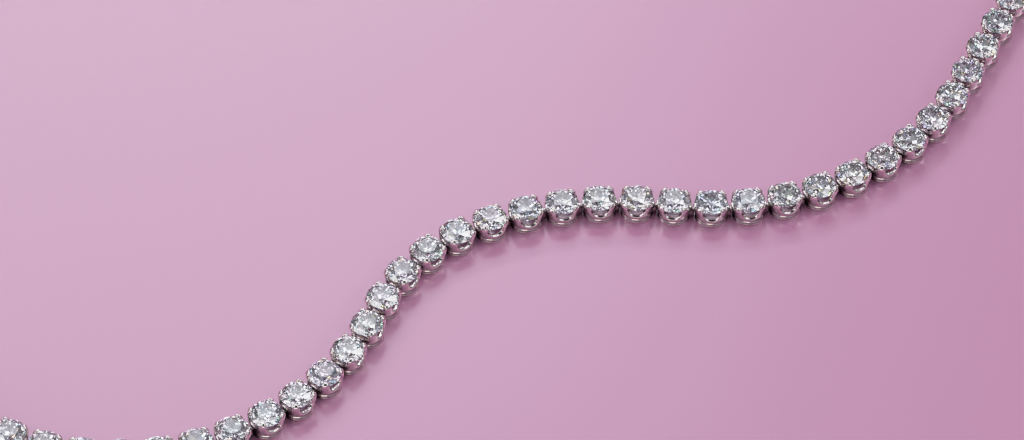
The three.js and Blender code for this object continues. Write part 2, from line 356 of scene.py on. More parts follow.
def polish_group():
    """The state of polished metal: a cloudy tone, faint buffing lines, a rougher film in patches, and painted
    shade, a dull dark colour where shade falls in the recesses.

    Noise at the size of a link gives the tone and the film, and noise stretched ten to one gives the buffing
    lines. The painted shade input, from 0 to 1, blends from those to a dark colour and a higher roughness,
    painted where shade falls.
    """
    group = bpy.data.node_groups.new("buffed_polish", "ShaderNodeTree")
    for name, direction, kind in POLISH_SOCKETS:
        group.interface.new_socket(name, in_out=direction, socket_type=kind)
    nodes, links = group.nodes, group.links
    inputs = nodes.new("NodeGroupInput")
    outputs = nodes.new("NodeGroupOutput")
    coordinates = nodes.new("ShaderNodeTexCoord")

    cloud = add_noise(nodes, CLOUD_SCALE, CLOUD_DETAIL)
    links.new(coordinates.outputs["Object"], cloud.inputs["Vector"])
    tone = add_colour_mix(nodes)
    links.new(cloud.outputs["Fac"], tone.inputs["Factor"])
    links.new(inputs.outputs["Bright"], tone.inputs["A"])
    links.new(inputs.outputs["Dim"], tone.inputs["B"])
    # Painted shade darkens the tone towards a dull dark colour.
    painted_shade_tone = add_colour_mix(nodes)
    painted_shade_tone.inputs["B"].default_value = PAINTED_SHADE_COLOUR
    links.new(inputs.outputs["Painted Shade"], painted_shade_tone.inputs["Factor"])
    links.new(tone.outputs["Result"], painted_shade_tone.inputs["A"])
    links.new(painted_shade_tone.outputs["Result"], outputs.inputs["Colour"])

    film = nodes.new("ShaderNodeMapRange")
    film.inputs["From Min"].default_value = FILM_RANGE[0]
    film.inputs["From Max"].default_value = FILM_RANGE[1]
    links.new(cloud.outputs["Fac"], film.inputs["Value"])
    links.new(inputs.outputs["Smooth"], film.inputs["To Min"])
    links.new(inputs.outputs["Rough"], film.inputs["To Max"])
    # Painted shade also raises the roughness.
    matt = nodes.new("ShaderNodeMix")
    matt.inputs["B"].default_value = PAINTED_SHADE_ROUGHNESS
    links.new(inputs.outputs["Painted Shade"], matt.inputs["Factor"])
    links.new(film.outputs["Result"], matt.inputs["A"])
    links.new(matt.outputs["Result"], outputs.inputs["Roughness"])

    stretch = nodes.new("ShaderNodeMapping")
    stretch.inputs["Scale"].default_value = BUFFING_SCALE
    stretch.inputs["Rotation"].default_value = BUFFING_TURN
    buffing = add_noise(nodes, 1, BUFFING_DETAIL)
    links.new(coordinates.outputs["Object"], stretch.inputs["Vector"])
    links.new(stretch.outputs["Vector"], buffing.inputs["Vector"])
    links.new(buffing.outputs["Fac"], outputs.inputs["Lines"])
    return group


POLISH = polish_group()


def polished_metal(name, bright, dim, smooth, rough, line_height):
    """White metal with the polish group's tone, between bright and dim, and its roughness, between smooth and
    rough, with its lines as a bump of line_height metres, and with painted shade from the mesh's attribute."""
    material, nodes, links = new_material(name)
    shader = nodes["Principled BSDF"]
    shader.inputs["Metallic"].default_value = 1.0
    polish = nodes.new("ShaderNodeGroup")
    polish.node_tree = POLISH
    polish.inputs["Bright"].default_value = bright
    polish.inputs["Dim"].default_value = dim
    polish.inputs["Smooth"].default_value = smooth
    polish.inputs["Rough"].default_value = rough
    # Painted shade, per point, from the mesh's attribute.
    painted_shade = nodes.new("ShaderNodeAttribute")
    painted_shade.attribute_name = "painted_shade"
    links.new(painted_shade.outputs["Fac"], polish.inputs["Painted Shade"])
    bump = nodes.new("ShaderNodeBump")
    bump.inputs["Strength"].default_value = 1.0
    bump.inputs["Distance"].default_value = line_height
    links.new(polish.outputs["Colour"], shader.inputs["Base Color"])
    links.new(polish.outputs["Roughness"], shader.inputs["Roughness"])
    links.new(polish.outputs["Lines"], bump.inputs["Height"])
    links.new(bump.outputs["Normal"], shader.inputs["Normal"])
    return material


def diamond_material():
    """Clear stone of diamond's refraction, whose facets take their tint from a colour attribute: a tone of
    grey for each facet and, on some small facets, painted fire, spectral tints in place of dispersion's
    coloured glints.
    """
    material, nodes, links = new_material("cut_diamond")
    shader = nodes["Principled BSDF"]
    shader.inputs["Roughness"].default_value = 0.0
    shader.inputs["IOR"].default_value = DIAMOND_REFRACTION
    shader.inputs["Transmission Weight"].default_value = 1.0
    # Each facet's tint, with painted fire on some small facets.
    tint_and_painted_fire = nodes.new("ShaderNodeVertexColor")
    tint_and_painted_fire.layer_name = "tint_and_painted_fire"
    links.new(tint_and_painted_fire.outputs["Color"], shader.inputs["Base Color"])
    return material


def surface_material():
    """The pale pink sheet that the necklace lies on: faintly mottled, with the same satin gloss from every
    side. Beyond the lamps' reach it glows in the backdrop's pale pink, by a smooth step of the distance."""
    material, nodes, links = new_material("pink_sheet")
    nodes.remove(nodes["Principled BSDF"])
    coordinates = nodes.new("ShaderNodeTexCoord")
    mottle = add_noise(nodes, SHEET_MOTTLE_SCALE, SHEET_MOTTLE_DETAIL)
    shade = add_colour_mix(nodes)
    shade.inputs["A"].default_value, shade.inputs["B"].default_value = SHEET_COLOURS
    links.new(coordinates.outputs["Object"], mottle.inputs["Vector"])
    links.new(mottle.outputs["Fac"], shade.inputs["Factor"])

    matt = nodes.new("ShaderNodeBsdfDiffuse")
    links.new(shade.outputs["Result"], matt.inputs["Color"])
    gloss = nodes.new("ShaderNodeBsdfAnisotropic")
    gloss.inputs["Roughness"].default_value = SHEET_ROUGHNESS
    sheen = nodes.new("ShaderNodeMixShader")
    sheen.inputs["Fac"].default_value = SHEET_GLOSS
    links.new(matt.outputs["BSDF"], sheen.inputs[1])
    links.new(gloss.outputs["BSDF"], sheen.inputs[2])

    away = nodes.new("ShaderNodeVectorMath")
    away.operation = "LENGTH"
    links.new(coordinates.outputs["Object"], away.inputs[0])
    glow = nodes.new("ShaderNodeEmission")
    glow.inputs["Color"].default_value = PALE_PINK
    far = smooth_step(nodes, links, away.outputs["Value"], *LAMPLIT_REACH, 0.0, 1.0)
    blend_out = nodes.new("ShaderNodeMixShader")
    links.new(far, blend_out.inputs["Fac"])
    links.new(sheen.outputs["Shader"], blend_out.inputs[1])
    links.new(glow.outputs["Emission"], blend_out.inputs[2])
    links.new(blend_out.outputs["Shader"], nodes["Material Output"].inputs["Surface"])
    return material


WHITE_GOLD = polished_metal(
    "polished_white_gold",
    bright=(0.97, 0.90, 0.88, 1),
    dim=(0.93, 0.85, 0.83, 1),
    smooth=0.02,
    rough=0.06,
    line_height=2e-7,
)
CLASP_GOLD = polished_metal(
    "clasp_white_gold",
    bright=(0.93, 0.88, 0.85, 1),
    dim=(0.86, 0.81, 0.78, 1),
    smooth=0.05,
    rough=0.14,
    line_height=6e-7,
)
DIAMOND = diamond_material()

# ---------------------------------------------------------------- the stone

GIRDLE_TOP = GIRDLE_HEIGHT + GIRDLE_THICKNESS / 2
GIRDLE_LOW = GIRDLE_HEIGHT - GIRDLE_THICKNESS / 2
CROWN_SLOPE = math.tan(math.radians(CROWN_ANGLE))
PAVILION_SLOPE = math.tan(math.radians(PAVILION_ANGLE))


def round_points(radius, height, count, first_degrees):
    """Points spaced evenly round the axis."""
    angle = np.radians(first_degrees) + np.arange(count) * 2 * np.pi / count
    return np.stack((radius * np.cos(angle), radius * np.sin(angle), np.full(count, height)), axis=1)


def brilliant():
    """A round brilliant of 57 facets and a faceted girdle: shape, and the facet that each triangle is in.

    The main facets lie on planes that slope from the girdle at the crown's and the pavilion's angle, so a
    point at radius r, half a facet (22.5 degrees) off a main facet's middle, is (R - r cos 22.5) tan(angle)
    off the girdle. The star's tip and the lower half's end are such points.
    """
    off_middle = math.cos(math.radians(22.5))
    table_edge = TABLE_RADIUS * off_middle
    star_radius = table_edge + STAR_LENGTH * (GIRDLE_RADIUS - table_edge)
    star_height = GIRDLE_TOP + (GIRDLE_RADIUS - star_radius * off_middle) * CROWN_SLOPE
    table_height = GIRDLE_TOP + (GIRDLE_RADIUS - TABLE_RADIUS) * CROWN_SLOPE
    half_radius = (1 - LOWER_HALF_LENGTH) * GIRDLE_RADIUS
    half_height = GIRDLE_LOW - (GIRDLE_RADIUS - half_radius * off_middle) * PAVILION_SLOPE
    culet_height = GIRDLE_LOW - GIRDLE_RADIUS * PAVILION_SLOPE
    points = np.vstack((
        [[0, 0, table_height], [0, 0, culet_height]],
        round_points(TABLE_RADIUS, table_height, 8, 0),
        round_points(star_radius, star_height, 8, 22.5),
        round_points(GIRDLE_RADIUS, GIRDLE_TOP, 16, 0),
        round_points(GIRDLE_RADIUS, GIRDLE_LOW, 16, 0),
        round_points(half_radius, half_height, 8, 22.5),
    ))
    hub, culet, table, star, upper, lower, half = 0, 1, 2, 10, 18, 34, 50       # each ring's first point
    k = np.arange(8)
    after, before = (k + 1) % 8, (k - 1) % 8
    main, off, main_after = 2 * k, 2 * k + 1, (2 * k + 2) % 16
    none = np.zeros(8, dtype=int)
    j = np.arange(16)
    around = (j + 1) % 16
    tables = np.stack((none + hub, table + k, table + after), axis=1)
    # Stars, crown mains, upper halves, the girdle, lower halves and pavilion mains, with their numbers.
    facets = [
        (np.stack((table + k, star + k, table + after), axis=1), 1 + k),
        (np.stack((table + k, star + before, upper + main), axis=1), 9 + k),
        (np.stack((table + k, upper + main, star + k), axis=1), 9 + k),
        (np.stack((star + k, upper + main, upper + off), axis=1), 17 + k),
        (np.stack((star + k, upper + off, upper + main_after), axis=1), 25 + k),
        (np.stack((upper + j, lower + j, lower + around), axis=1), 33 + j),
        (np.stack((upper + j, lower + around, upper + around), axis=1), 33 + j),
        (np.stack((half + k, lower + off, lower + main), axis=1), 49 + k),
        (np.stack((half + k, lower + main_after, lower + off), axis=1), 57 + k),
        (np.stack((none + culet, half + k, lower + main), axis=1), 65 + k),
        (np.stack((none + culet, lower + main, half + before), axis=1), 65 + k),
    ]
    faces = np.concatenate([tables] + [triangles for triangles, _ in facets])
    numbers = np.concatenate([none] + [number for _, number in facets])
    return (points, faces), numbers


BRILLIANT, FACET_NUMBERS = brilliant()
STONE_FACETS = 73               # the girdle's 16 among them
SMALL_FACETS = np.isin(np.arange(STONE_FACETS), np.r_[1:9, 17:33, 49:65])      # stars and halves
FACET_GREYS = (0.93, 1.00)      # a facet's plain tone lies between these
FACET_CAST = (0.93, 0.925, 1.00)        # the stone's own faint colour
FACET_BREATH = 0.045            # spread of each facet's colour by chance
# Painted fire: spectral tints on a share of the small facets, as coloured glints of dispersion.
PAINTED_FIRE_SHARE = 0.20               # of the small facets
PAINTED_FIRE_HUES = np.array([
    (0.50, 0.47, 1.00),         # violet blue
    (0.42, 0.80, 1.00),         # sky blue
    (0.45, 0.95, 0.66),         # green
    (1.00, 0.92, 0.40),         # yellow
    (1.00, 0.66, 0.40),         # orange
])
chance = np.random.default_rng(11)


def set_stone(spot):
    """A brilliant in its link: turned by chance about its axis, as stones are set, and a little off level,
    so that a point rises by its x and its y times two small slopes."""
    points, faces = BRILLIANT
    spin = chance.uniform(0, math.tau)
    lean_x, lean_y = np.radians(chance.uniform(-STONE_LEAN, STONE_LEAN, 2))
    spun = placed(points - [0, 0, GIRDLE_HEIGHT], (0, 0, spin))
    spun[:, 2] += spun[:, 0] * lean_x + spun[:, 1] * lean_y
    return placed(spun + [0, 0, GIRDLE_HEIGHT], spot), faces


def colour_facets(piece, stones):
    """Gives each facet a tint in a colour attribute: by chance a tone of grey times the stone's own colour,
    plus a breath of another, and on a share of the small facets painted fire instead, a spectral colour in
    place of dispersion's coloured glints."""
    facets = stones * STONE_FACETS
    greys = chance.uniform(*FACET_GREYS, facets)
    breath = chance.normal(0.0, FACET_BREATH, (facets, 3))
    tints = (greys[:, None] * FACET_CAST + breath).clip(0, 1)
    # Painted fire on a share of the small facets.
    painted_fire_facets = np.tile(SMALL_FACETS, stones) & (chance.random(facets) < PAINTED_FIRE_SHARE)
    tints[painted_fire_facets] = PAINTED_FIRE_HUES[chance.integers(0, len(PAINTED_FIRE_HUES), painted_fire_facets.sum())]
    numbers = (FACET_NUMBERS[None, :] + STONE_FACETS * np.arange(stones)[:, None]).ravel()
    rgba = np.ones((len(numbers), 4))
    rgba[:, :3] = tints[numbers]
    attribute = piece.data.color_attributes.new("tint_and_painted_fire", "FLOAT_COLOR", "CORNER")
    attribute.data.foreach_set("color", np.repeat(rgba, 3, axis=0).ravel())


# ---------------------------------------------------------------- the setting

WALL_SHARES = np.array([0.0, 0.22, 0.45, 0.67, 0.89, 1.0])      # rows up the wall, from waist to shoulder
INSIDE_SHARES = WALL_SHARES[4:0:-1]     # rows down its inside
WINDOW_OUTSIDE = np.array([2, 3, 4])    # the window's rows among the first, from low to high
WINDOW_INSIDE = np.array([2, 1, 0])     # and among the second


def blend(start, end, share):
    """The straight way from start to end."""
    return start + (end - start) * share


def eased(value, low, high):
    """0 up to low, 1 from high on, and a cubic between them."""
    share = ((value - low) / (high - low)).clip(0, 1)
    return share * share * (3 - 2 * share)


def end_rim():
    """Angle in degrees and height of the columns over an end wall: a flat knuckle, a smooth step down on
    either side of it to the notch, and beyond that a quarter of a cosine up to the claw's root."""
    angles = np.array([-31, -27, -22, -18, -15, -13, -11, -9, -4, 0, 4, 9, 11, 13, 15, 18, 22, 27, 31])
    off = np.abs(angles)
    knuckle = blend(END_HEIGHT, NOTCH_HEIGHT, eased(off, KNUCKLE_EDGE, NOTCH_EDGE))
    climb = ((off - NOTCH_EDGE) / (CLAW_MIDDLE - CLAW_HALF_WIDTH - NOTCH_EDGE)).clip(0, 1)
    rise = (CLAW_ROOT_HEIGHT - NOTCH_HEIGHT) * (1 - np.cos(np.pi / 2 * climb))
    return np.stack((angles, knuckle + rise), axis=1)


END_RIM = end_rim()


def columns_round():
    """Angle, claw share, rim height and rim flatness of each column round the cup.

    Between its two neighbours each claw has columns at half width times sin(t), t from -90 to 90 degrees,
    where cos(t) is the claw's share, so that its section is a half round. A scoop has columns spaced in
    the same way, and its rim hangs below the claws' roots by its depth times a power of cos(t), which makes
    a broad U. Flatness is 1 on the end walls and the claws, and 1 - cos(t) in a scoop, down to a plain bevel.
    """
    t = np.radians(np.arange(-90, 91, 15))
    inner = t[1:-1]
    scoop_half = CLAW_MIDDLE - CLAW_HALF_WIDTH
    end_angles, end_heights = END_RIM.T
    claw_angles = CLAW_HALF_WIDTH * np.sin(t)
    claw_heights = np.full(len(t), CLAW_ROOT_HEIGHT)
    claw_flatness = np.ones(len(t))
    spans = []
    for quarter in range(4):
        if quarter % 2 == 0:
            plain = np.zeros(len(end_angles))
            spans.append((quarter * 90 + end_angles, plain, end_heights, plain + 1))
        else:
            heights = blend(CLAW_ROOT_HEIGHT, SILL_HEIGHT, np.cos(inner) ** SCOOP_POWER)
            plain = np.zeros(len(inner))
            spans.append((quarter * 90 + scoop_half * np.sin(inner), plain, heights, 1 - np.cos(inner)))
        claw_places = quarter * 90 + CLAW_MIDDLE + claw_angles
        spans.append((claw_places, np.cos(t).clip(0), claw_heights, claw_flatness))
    angles, claws, heights, flatness = (np.concatenate(column) for column in zip(*spans))
    return np.radians(angles), claws, heights, flatness


def wall_radius(angle, height):
    """The wall's outer radius: a circle at the waist that opens, by a quarter sine of the height, to an
    outline |x / a| ** n + |y / b| ** n = 1 at the top."""
    long_way = np.abs(np.cos(angle) / WALL_TOP_LONG) ** WALL_SQUARENESS
    across = np.abs(np.sin(angle) / WALL_TOP_ACROSS) ** WALL_SQUARENESS
    top = (long_way + across) ** (-1 / WALL_SQUARENESS)
    opening = np.sin(np.pi / 2 * ((height - WAIST_HEIGHT) / WALL_OPENING).clip(0, 1))
    return blend(WAIST_RADIUS, top, opening)


BEVEL_SHARES = np.array([       # of the way in and of the way up, over a scoop's bevelled rim
    (0.05, 0.18),
    (0.34, 0.48),
    (0.72, 0.83),
    (1.00, 1.00),
])
FLAT_TOP_SHARES = np.array([    # and over an end wall's rim, whose top is nearly flat
    (0.02, 0.50),
    (0.06, 0.86),
    (0.14, 1.00),
    (1.00, 1.00),
])
FOOT_ROWS = np.array([          # radius, height: the underside, two rounded rings and the groove between
    (1.56, 0.000),
    (1.88, 0.000),
    (1.975, 0.035),
    (2.025, 0.110),
    (2.025, 0.220),
    (1.975, 0.300),
    (1.895, 0.345),
    (1.94, 0.400),
    (1.985, 0.490),
    (1.95, 0.590),
    (1.87, 0.650),
])
CLAW_BACK_ROWS = np.array([     # radius, height of a claw's outside, one for each of WALL_SHARES
    (WAIST_RADIUS, WAIST_HEIGHT),
    (2.00, 1.10),
    (2.10, 1.48),
    (2.18, 1.85),
    (2.26, 2.20),
    (2.31, 2.42),
])
CLAW_TIP_ROWS = np.array([      # over the tip and in on to the crown
    (2.32, 2.58),
    (2.26, 2.74),
    (2.12, 2.90),
    (1.98, 3.03),
    (1.84, 3.06),
    (1.74, 2.94),
])
CLAW_INSIDE_ROWS = np.array([   # along the crown, round the girdle and down under it
    (1.80, 2.79),
    (1.99, 2.64),
    (1.99, 2.47),
    (1.74, 2.22),
    (1.50, WAIST_HEIGHT),
])
BORE_ROWS = np.array([          # down the hole through the foot
    (BORE_RADIUS, 0.40),
    (BORE_RADIUS, 0.06),
])


def cup_rows():
    """Radius and height of the cup's skin, each (rows, columns), and the columns' angles.

    The rows go from under the foot up the outside, over the rim and down the inside. A column is the wall's
    section moved towards the claw's by its claw share, with the height sooner than the radius, so that a
    claw has steep sides and a round back. The rim goes from a bevel to a flat top by its flatness, and has a
    small round inside.
    """
    angle, claw, rim, flatness = columns_round()
    ones = np.ones_like(angle)
    round_share = claw ** CLAW_ROUND_POWER
    rise_share = claw ** CLAW_RISE_POWER

    shoulder = rim - RIM_FALL
    outside_z = blend(WAIST_HEIGHT, shoulder, WALL_SHARES[:, None])
    outside_r = wall_radius(angle, outside_z)

    lip = LIP_RADIUS + LIP_OPENING * (rim - SILL_HEIGHT) ** 2
    peak = lip + RIM_ROUND
    back = np.radians([[45.0], [90.0]])
    inwards = blend(BEVEL_SHARES[:, :1], FLAT_TOP_SHARES[:, :1], flatness)
    upwards = blend(BEVEL_SHARES[:, 1:], FLAT_TOP_SHARES[:, 1:], flatness)
    rim_r = np.vstack((
        blend(outside_r[-1], peak, inwards),
        peak - RIM_ROUND * np.sin(back),
    ))
    rim_z = np.vstack((
        shoulder + RIM_FALL * upwards,
        rim - RIM_ROUND * (1 - np.cos(back)),
    ))

    inside_z = np.vstack((blend(WAIST_HEIGHT, shoulder, INSIDE_SHARES[:, None]), WAIST_HEIGHT * ones))
    inside_r = np.vstack((blend(BORE_RADIUS, lip, INSIDE_SHARES[:, None]), BORE_RADIUS * ones))

    def towards(wall, claws, share):
        return wall + (claws[:, None] - wall) * share

    radius = np.vstack((
        FOOT_ROWS[:, :1] * ones,
        towards(outside_r, CLAW_BACK_ROWS[:, 0], round_share),
        towards(rim_r, CLAW_TIP_ROWS[:, 0], round_share),
        towards(inside_r, CLAW_INSIDE_ROWS[:, 0], round_share),
        BORE_ROWS[:, :1] * ones,
    ))
    height = np.vstack((
        FOOT_ROWS[:, 1:] * ones,
        towards(outside_z, CLAW_BACK_ROWS[:, 1], rise_share),
        towards(rim_z, CLAW_TIP_ROWS[:, 1], rise_share),
        towards(inside_z, CLAW_INSIDE_ROWS[:, 1], rise_share),
        BORE_ROWS[:, 1:] * ones,
    ))
    return radius, height, angle


def window_walls(outside, inside, first, last, columns):
    """Faces that line a window through the wall: outside and inside are the rows of its two mouths from low
    to high, and first and last its end columns. Each row or column of one mouth joins that of the other."""
    def corner(row, column):
        return row * columns + column

    across = np.arange(first, last)
    floor = (corner(outside[0], across), corner(outside[0], across + 1),
             corner(inside[0], across + 1), corner(inside[0], across))
    ceiling = (corner(inside[-1], across), corner(inside[-1], across + 1),
               corner(outside[-1], across + 1), corner(outside[-1], across))
    near = (corner(outside[1:], first), corner(outside[:-1], first),
            corner(inside[:-1], first), corner(inside[1:], first))
    far = (corner(outside[:-1], last), corner(outside[1:], last),
           corner(inside[1:], last), corner(inside[:-1], last))
    return np.concatenate([np.stack(corners, axis=1) for corners in (floor, ceiling, near, far)])


def cup():
    """The cup with its foot, claws and the window in its back wall, as one closed skin."""
    radius, height, angle = cup_rows()
    rows, columns = radius.shape
    points = np.stack((radius * np.cos(angle), radius * np.sin(angle), height), axis=-1).reshape(-1, 3)
    quads = grid_quads(rows, columns, True)

    degrees = np.degrees(angle)
    first, last = (int(np.argmin(np.abs(degrees - side))) for side in WINDOW_SIDES)
    outside = len(FOOT_ROWS) + WINDOW_OUTSIDE
    inside = len(FOOT_ROWS) + len(WALL_SHARES) + len(CLAW_TIP_ROWS) + WINDOW_INSIDE
    kept = np.ones(quads.shape[:2], dtype=bool)
    kept[outside[0]:outside[-1], first:last] = False
    kept[inside[-1]:inside[0], first:last] = False
    lining = window_walls(outside, inside, first, last, columns)
    return points, np.concatenate((halves(quads[kept]), halves(lining)))


def hooked_path(start, reach):
    """Points (x, z) out along the tongue's height, round a quarter circle and down to the hook's end."""
    turn = np.radians([90, 67.5, 45, 22.5, 0])
    bend_x = reach - HOOK_BEND + HOOK_BEND * np.cos(turn)
    bend_z = TONGUE_HEIGHT - HOOK_BEND + HOOK_BEND * np.sin(turn)
    return np.array([
        (start, TONGUE_HEIGHT),
        (start + END_STEP, TONGUE_HEIGHT),
        *zip(bend_x, bend_z),
        (reach, TONGUE_DROP + END_STEP),
        (reach, TONGUE_DROP),
    ])


def tongue(start, reach):
    """The hooked tongue, a bar with rounded edges from its root at x = start to its hook at x = reach.

    Its section is |y / (w / 2)| ** n + |v / (t / 2)| ** n = 1, with v along the path's normal. The section
    at each end is smaller, so that the ends are rounded.
    """
    path = hooked_path(start, reach)
    tangent = np.gradient(path, axis=0)
    tangent /= np.linalg.norm(tangent, axis=1, keepdims=True)
    normal = np.stack((-tangent[:, 1], tangent[:, 0]), axis=1)
    cosine, sine = squared_ring(TONGUE_SIDES, TONGUE_SQUARENESS)
    scale = np.ones((len(path), 1))
    scale[[0, -1]] = END_SHARE
    y = TONGUE_WIDTH / 2 * cosine * scale
    v = TONGUE_THICKNESS / 2 * sine * scale
    x = path[:, :1] + normal[:, :1] * v
    z = path[:, 1:] + normal[:, 1:] * v
    return capped(np.stack((x, y, z), axis=-1))


HINGE_ROOT_ROWS = np.array([    # x, and share of the block's full size
    (1.60, 1.00),
    (2.42, 1.00),
    (2.47, 0.94),
    (2.49, 0.80),
])


def hinge_root():
    """The block under the tongue, between its own cup's end wall and the next one: sections
    |y / a| ** n + |z / b| ** n = 1 along X, the last two smaller, so that its outer edges are rounded."""
    x, share = HINGE_ROOT_ROWS.T
    cosine, sine = squared_ring(HINGE_ROOT_SIDES, HINGE_ROOT_SQUARENESS)
    y = HINGE_ROOT_WIDTH / 2 * cosine * share[:, None]
    z = (HINGE_ROOT_TOP - HINGE_ROOT_LOW) / 2 * sine * share[:, None]
    return capped(rings_along(x, y, (HINGE_ROOT_TOP + HINGE_ROOT_LOW) / 2 + z))


SETTING = joined([cup(), tongue(TONGUE_START, TONGUE_REACH), hinge_root()])

# Painted shade on the metal: between the links, inside the cup and in the foot's grooves. A pair of numbers
# is where a smooth step starts and ends, and a share says how dark the shade is painted there.
LINK_END = (1.62, 1.88)         # distance from the stone along the necklace
BETWEEN_SHADE_TOP = (1.86, 1.98)      # height
CUP_HOLE = (1.50, 1.56)         # radius
CUP_MOUTH = (1.60, 2.20)        # height
INSIDE_SHADE = 0.15
LOWER_GROOVE = (0.25, 0.33)     # height
LOWER_GROOVE_TOP = (0.36, 0.44)
LOWER_GROOVE_SHADE = 0.85
UPPER_GROOVE = (0.58, 0.66)
UPPER_GROOVE_TOP = (0.70, 0.80)
UPPER_GROOVE_SHADE = 0.55


def painted_shade_of(points):
    """How much shade is painted on each point of a link: between the links, which is near both ends and below
    the end walls' rims, down inside the cup, and in the two grooves of the foot. Each is a product of smooth
    steps, and the greatest counts."""
    x, y, z = points.T
    between = eased(np.abs(x), *LINK_END) * (1 - eased(z, *BETWEEN_SHADE_TOP))
    inside = (1 - eased(np.hypot(x, y), *CUP_HOLE)) * (1 - eased(z, *CUP_MOUTH)) * INSIDE_SHADE
    lower_groove = eased(z, *LOWER_GROOVE) * (1 - eased(z, *LOWER_GROOVE_TOP)) * LOWER_GROOVE_SHADE
    upper_groove = eased(z, *UPPER_GROOVE) * (1 - eased(z, *UPPER_GROOVE_TOP)) * UPPER_GROOVE_SHADE
    return np.max((between, inside, lower_groove, upper_groove), axis=0)


LINK_PAINTED_SHADE = painted_shade_of(SETTING[0])


def link_pieces(names, indices, replaced):
    """The metal and the stones of some neighbouring links, each as one joined piece."""
    spots = LINK_FRAMES[indices]
    settings = joined([(placed(SETTING[0], spot), SETTING[1]) for spot in spots])
    stones = joined([set_stone(spot) for spot in spots])
    # The settings take painted shade between the links, inside the cups and in the foot's grooves.
    make_piece(names[0], settings, WHITE_GOLD, replaced=replaced[0],
               painted_shade=np.tile(LINK_PAINTED_SHADE, len(spots)))
    gems = make_piece(names[1], stones, DIAMOND, replaced=replaced[1], smooth=False)
    colour_facets(gems, len(spots))


# ---------------------------------------------------------------- the clasp

SEAM_ROWS = np.array([          # distance from the seam's middle, and depth of the seam there
    (-0.16, 0.00),
    (-0.11, 0.03),
    (-0.07, 0.12),
    (0.00, 0.15),
    (0.07, 0.12),
    (0.11, 0.03),
    (0.16, 0.00),
])
BELLY_ROWS = np.linspace(-CLASP_LENGTH / 2 + 1.2, SEAM_PLACE - 0.6, 5)        # along the plain box
PRESS_ROWS = np.array([         # height, and share of the press's full size
    (CLASP_HEIGHT - 0.15, 1.00),
    (CLASP_HEIGHT + 0.06, 1.00),
    (PRESS_TOP - 0.08, 0.98),
    (PRESS_TOP - 0.02, 0.92),
    (PRESS_TOP, 0.80),
])


def clasp_body():
    """A closed box clasp: sections |y / a| ** n + |z / b| ** n = 1 along X, rounded in at both ends by a
    quarter circle and drawn in at the seam between the box and the end plate."""
    turn = np.radians(np.arange(0, 91, 15))
    end_x = CLASP_LENGTH / 2 - CLASP_EDGE + CLASP_EDGE * np.sin(turn)
    end_inset = CLASP_EDGE * (1 - np.cos(turn))
    seam_x, seam_inset = SEAM_ROWS.T
    x = np.concatenate((-end_x[::-1], BELLY_ROWS, SEAM_PLACE + seam_x, end_x))
    inset = np.concatenate((end_inset[::-1], np.zeros(len(BELLY_ROWS)), seam_inset, end_inset))
    cosine, sine = squared_ring(CLASP_SIDES, CLASP_SQUARENESS)
    y = (CLASP_WIDTH / 2 - inset)[:, None] * cosine
    z = CLASP_HEIGHT / 2 + (CLASP_HEIGHT / 2 - inset)[:, None] * sine
    return capped(rings_along(x, y, z))


def clasp_press():
    """The press on the end plate: rings |x / a| ** n + |y / b| ** n = 1 that close in towards a flat top."""
    z, share = PRESS_ROWS.T
    cosine, sine = squared_ring(PRESS_SIDES, PRESS_SQUARENESS)
    x = PRESS_PLACE + PRESS_LENGTH / 2 * cosine * share[:, None]
    y = PRESS_WIDTH / 2 * sine * share[:, None]
    return capped(np.stack((x, y, np.broadcast_to(z[:, None], x.shape)), axis=-1))


def clasp():
    """The clasp with its own tongue, half way along the places that it takes. Shade is painted on the metal
    past its ends."""
    middle = frames_at(np.array([(FIRST_OPEN_LINK + OPEN_LINKS + ROWS_BEFORE_CLASP * LINKS_PER_ROW
                                  + (CLASP_PLACES - 1) / 2) * PITCH]))[0]
    middle[:2] += ROUTE_SHIFT
    reach = (CLASP_PLACES - 1) / 2 * PITCH + TONGUE_REACH
    own_tongue = tongue(CLASP_LENGTH / 2 - CLASP_TONGUE_ROOT, reach)
    points, faces = joined([clasp_body(), clasp_press(), own_tongue])
    # Painted shade on the tongue past the clasp's ends, where it runs between the parts.
    shade_past_end = eased(np.abs(points[:, 0]), CLASP_LENGTH / 2 - END_STEP, CLASP_LENGTH / 2 + END_STEP)
    make_piece("box_clasp", (placed(points, middle), faces), CLASP_GOLD, replaced=["clasp"],
               painted_shade=shade_past_end)


# ---------------------------------------------------------------- the necklace

for number in range(OPEN_LINKS):
    label = f"{number + 1:02d}"
    link_pieces(
        (f"cast_setting_{label}", f"brilliant_{label}"),
        [FIRST_OPEN_LINK + number],
        ([f"setting_{label}"], [f"stone_{label}"]),
    )

place = FIRST_OPEN_LINK + OPEN_LINKS
for row in range(ROWS):
    if row == ROWS_BEFORE_CLASP:
        clasp()
        place += CLASP_PLACES
    label = f"{row + 1:02d}"
    link_pieces(
        (f"row_{label}_settings", f"row_{label}_brilliants"),
        (place + np.arange(LINKS_PER_ROW)) % LINK_PLACES,
        ([f"row_{label}"], []),
    )
    place += LINKS_PER_ROW

# ---------------------------------------------------------------- the surface, the light and the camera

# Distances here are in metres, angles in degrees and brightnesses in the renderer's own measure.
SHEET_REACH = 3.0               # from the middle of the loop to the sheet's sides
SHEET_LEVEL = -2e-5             # a hair under the foot rings
TARGET_OFF_STONE = (-1.726, 0.251, 0.0)     # in millimetres, from the middle of the ninth open stone
VIEW_TARGET = (middle_of("stone_09") + TARGET_OFF_STONE) * [1, 1, 0] * MM
VIEW_ELEVATION = 50.06
VIEW_DISTANCE = 0.6956
VIEW_LENS = 198.56
SENSOR_WIDTH = 36               # in millimetres, as the lens is
VIEW_DEPTH = (0.01, 20)         # nearest and farthest distance that the camera sees

